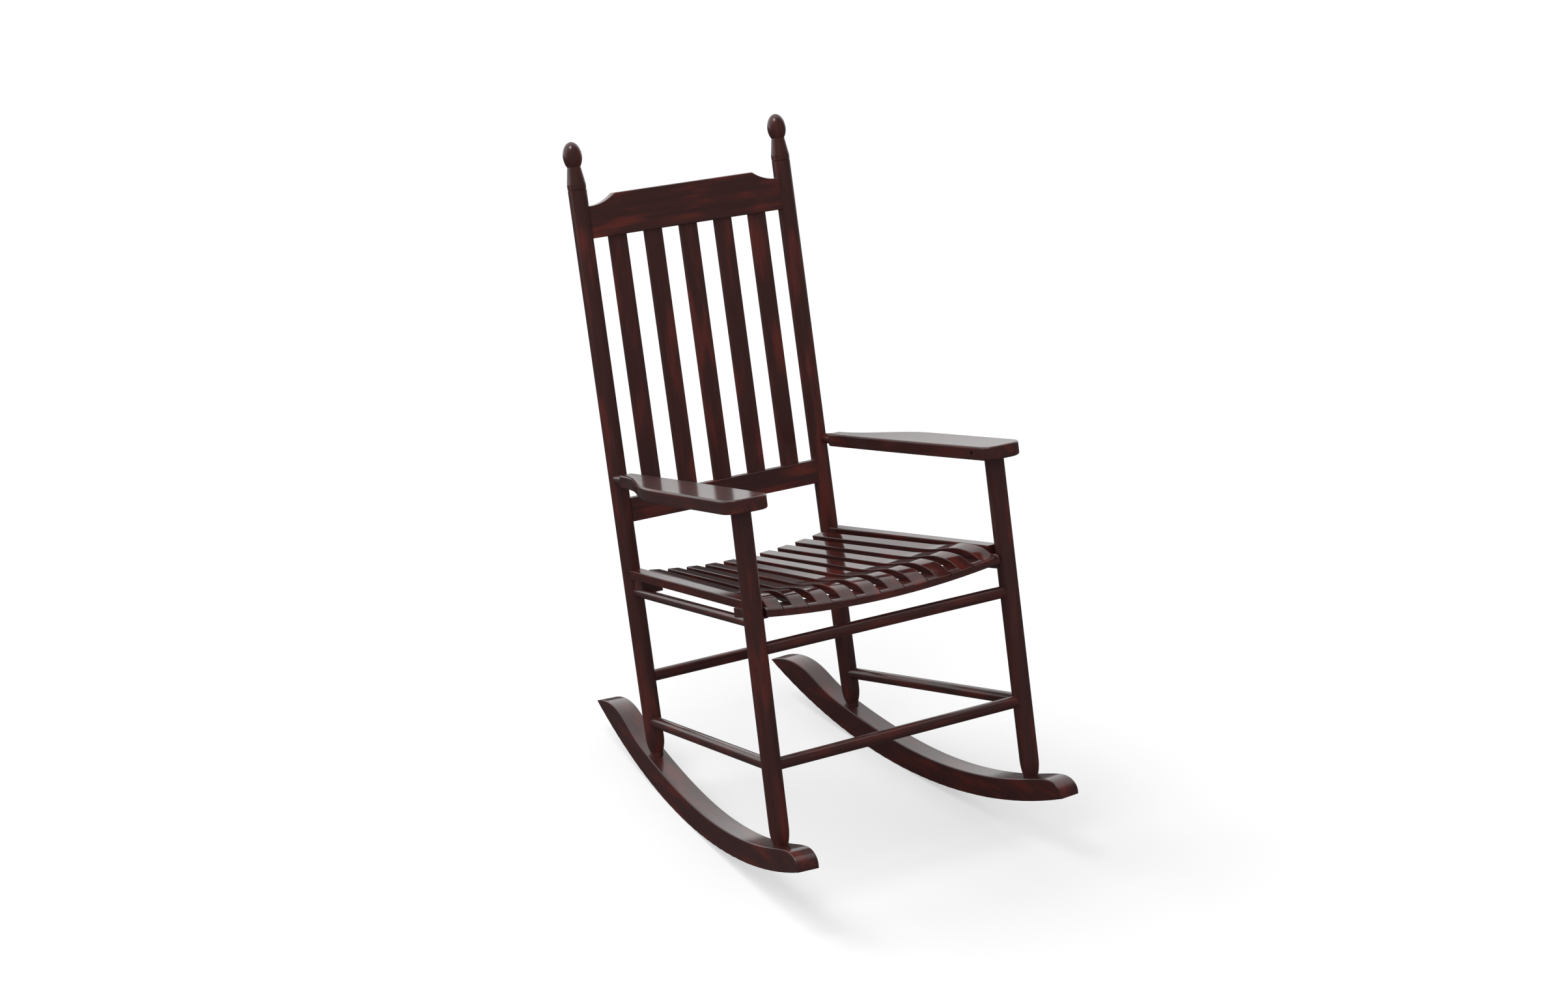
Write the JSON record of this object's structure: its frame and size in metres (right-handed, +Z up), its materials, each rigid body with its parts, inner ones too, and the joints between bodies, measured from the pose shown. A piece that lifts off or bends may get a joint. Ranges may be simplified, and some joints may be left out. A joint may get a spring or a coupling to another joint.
{
  "type": "rocking chair",
  "caption": "Slat-back wooden rocking chair with turned posts, egg finials, flat shaped arms, a dished slat seat and bow rockers.",
  "frame": {"origin": "middle of the footprint on the floor, under the chair at rest", "axes": "+Z up, the chair faces -Y, +X to the right as seen from the front"},
  "size_m": [0.6056, 0.9642, 1.1795],
  "materials": {
    "mahogany": "dark red-brown stain under satin-gloss lacquer",
    "zinc_steel": "zinc-plated screws"
  },
  "bodies": {
    "root": {"arm_left": "mahogany", "arm_right": "mahogany", "arm_screws": "zinc_steel", "back_slat_1": "mahogany", "back_slat_2": "mahogany", "back_slat_3": "mahogany", "back_slat_4": "mahogany", "back_slat_5": "mahogany", "crest_rail": "mahogany", "front_leg_left": "mahogany", "front_leg_right": "mahogany", "front_stretcher_lower": "mahogany", "front_stretcher_upper": "mahogany", "lower_back_rail": "mahogany", "rear_post_left": "mahogany", "rear_post_right": "mahogany", "rear_stretcher": "mahogany", "rocker_left": "mahogany", "rocker_right": "mahogany", "rocker_screws": "zinc_steel", "seat_front_rail": "mahogany", "seat_rear_rail": "mahogany", "seat_rod_left": "mahogany", "seat_rod_right": "mahogany", "seat_rod_screws": "zinc_steel", "seat_slat_01": "mahogany", "seat_slat_02": "mahogany", "seat_slat_03": "mahogany", "seat_slat_04": "mahogany", "seat_slat_05": "mahogany", "seat_slat_06": "mahogany", "seat_slat_07": "mahogany", "seat_slat_08": "mahogany", "seat_slat_09": "mahogany", "seat_slat_10": "mahogany", "seat_slat_screws": "zinc_steel", "side_seat_slat_left": "mahogany", "side_seat_slat_right": "mahogany", "side_stretcher_left": "mahogany", "side_stretcher_right": "mahogany"}
  },
  "joints": []
}
